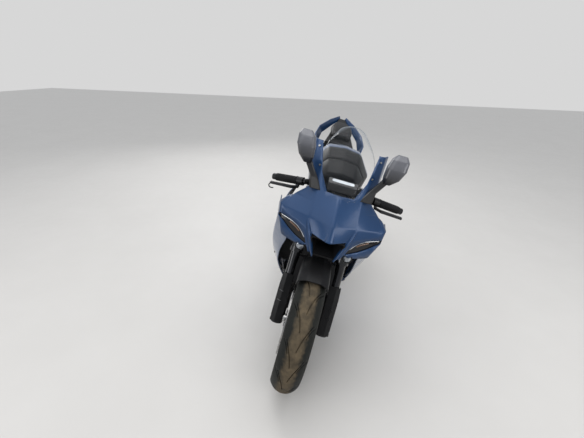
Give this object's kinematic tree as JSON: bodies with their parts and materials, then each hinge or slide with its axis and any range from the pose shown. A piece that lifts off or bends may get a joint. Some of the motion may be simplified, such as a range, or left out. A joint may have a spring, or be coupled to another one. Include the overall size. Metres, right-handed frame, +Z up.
{
  "type": "sport motorcycle",
  "caption": "Faired sport motorcycle parked on its side stand, with steering fork, spinning wheels, chain drive, clear screen, mirrors and folding stand.",
  "frame": {"origin": "bottom centre of the bounding box, on the floor", "axes": "+X to the rider's left, +Y to the rear, +Z up, as it leans on its side stand"},
  "size_m": [0.6718, 2.0533, 1.1322],
  "materials": {
    "black_plastic": "satin",
    "black_metal": "satin",
    "steel": "brushed",
    "dark_alloy": "satin",
    "tyre": "matte",
    "blue_paint": "gloss",
    "rubber": "matte",
    "lamp": "clear",
    "grey_plastic": "satin",
    "seat": "matte",
    "red_lamp": "gloss",
    "screen": "clear"
  },
  "bodies": {
    "chassis": {"belly_pan": "black_plastic", "cowl_stay": "black_metal", "drive_chain": "steel", "engine": "black_metal", "exhaust": "steel", "footrests": "dark_alloy", "fuel_tank": "blue_paint", "instrument_panel": "black_plastic", "intake_duct": "black_plastic", "lamps": "lamp", "main_frame": "dark_alloy", "mirror_left": "grey_plastic", "mirror_right": "grey_plastic", "nose_cowl": "blue_paint", "passenger_seat": "seat", "pivot_shaft": "steel", "radiator": "black_metal", "rear_axle": "steel", "rear_caliper": "black_metal", "rear_fender": "black_plastic", "rider_seat": "seat", "shock_absorber": "black_metal", "side_cowl_left": "blue_paint", "side_cowl_right": "blue_paint", "silencer": "black_metal", "subframe": "black_metal", "swingarm": "dark_alloy", "tail_cowl": "black_plastic", "tail_lamp": "red_lamp", "tail_wings": "blue_paint", "tank_cover": "black_plastic", "windscreen": "screen"},
    "fork": {"fork_legs": "black_metal", "front_axle": "steel", "yokes": "dark_alloy", "handlebars": "black_metal", "grips": "rubber", "levers": "black_metal", "front_fender": "black_plastic", "fork_guards": "black_plastic", "front_calipers": "black_metal"},
    "front_wheel_set": {"front_wheel": "dark_alloy", "front_tyre": "tyre", "front_discs": "steel"},
    "rear_wheel_set": {"rear_wheel": "dark_alloy", "rear_tyre": "tyre", "rear_disc": "steel", "rear_sprocket": "steel"},
    "stand": {"side_stand": "black_metal"}
  },
  "joints": [
    {"name": "steering", "type": "hinge", "parent": "chassis", "child": "fork", "pos_m": [-0.00612, -0.51752, 0.68586], "axis": [0.1977, 0.4066, 0.892], "range_deg": [-17, 24]},
    {"name": "front_wheel_spin", "type": "hinge", "parent": "fork", "child": "front_wheel_set", "pos_m": [-0.09443, -0.72706, 0.29566], "axis": [0.9798, -0.0558, -0.1918], "continuous": true},
    {"name": "rear_wheel_spin", "type": "hinge", "parent": "chassis", "child": "rear_wheel_set", "pos_m": [-0.08832, 0.67789, 0.31509], "axis": [0.9763, 0, -0.2164], "continuous": true},
    {"name": "side_stand_fold", "type": "hinge", "parent": "chassis", "child": "stand", "pos_m": [0.03188, 0.1409, 0.22893], "axis": [0.8855, -0.1605, 0.4361], "range_deg": [0, 88.4]}
  ]
}
